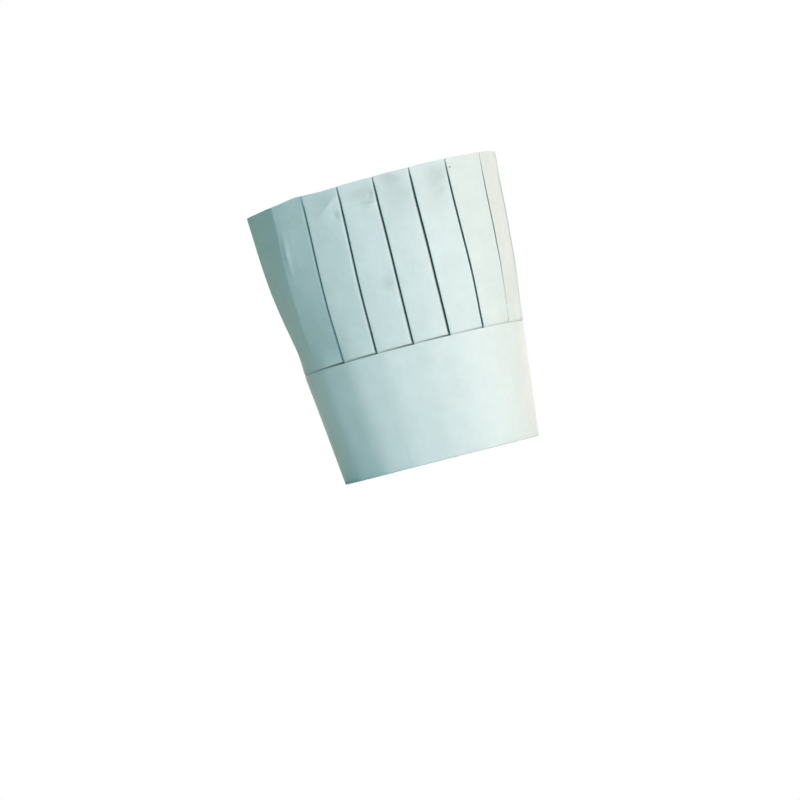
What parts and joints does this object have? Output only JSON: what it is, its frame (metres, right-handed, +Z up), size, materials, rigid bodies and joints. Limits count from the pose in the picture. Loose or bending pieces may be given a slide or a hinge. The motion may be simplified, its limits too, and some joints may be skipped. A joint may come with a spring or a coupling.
{
  "type": "pleated paper chef toque",
  "caption": "Tall pleated paper chef's toque with a plain folded headband, flat vented top, forehead sweatband and a peel-back size tab at the back.",
  "frame": {"origin": "middle of the plane of the lower edge of the headband, which the hat rests on", "axes": "+Z up the hat, +X to the front, +Y to the wearer's left"},
  "size_m": [0.258, 0.208, 0.284],
  "materials": {
    "band_paper": "white calendered paper, folded",
    "facing_paper": "white uncoated paper",
    "crown_paper": "white paper, machine pleated",
    "top_tissue": "white fibrous tissue paper",
    "crepe_wadding": "soft creped wadding",
    "tab_paper": "white calendered paper",
    "nylon_hooks": "moulded hooks",
    "nylon_loops": "brushed loops"
  },
  "bodies": {
    "hat": {"headband": "band_paper", "headband_facing": "facing_paper", "pleated_crown": "crown_paper", "crown_top": "top_tissue", "sweatband": "crepe_wadding", "tab_root": "tab_paper", "loop_strip": "nylon_loops"},
    "tab": {"closure_tab": "tab_paper", "hook_pad": "nylon_hooks"}
  },
  "joints": [
    {"name": "tab_peel", "type": "hinge", "parent": "hat", "child": "tab", "pos_m": [-0.10253, 0.02941, 0.0585], "axis": [-0.1056, 0.0301, 0.994], "range_deg": [0, 120]}
  ]
}
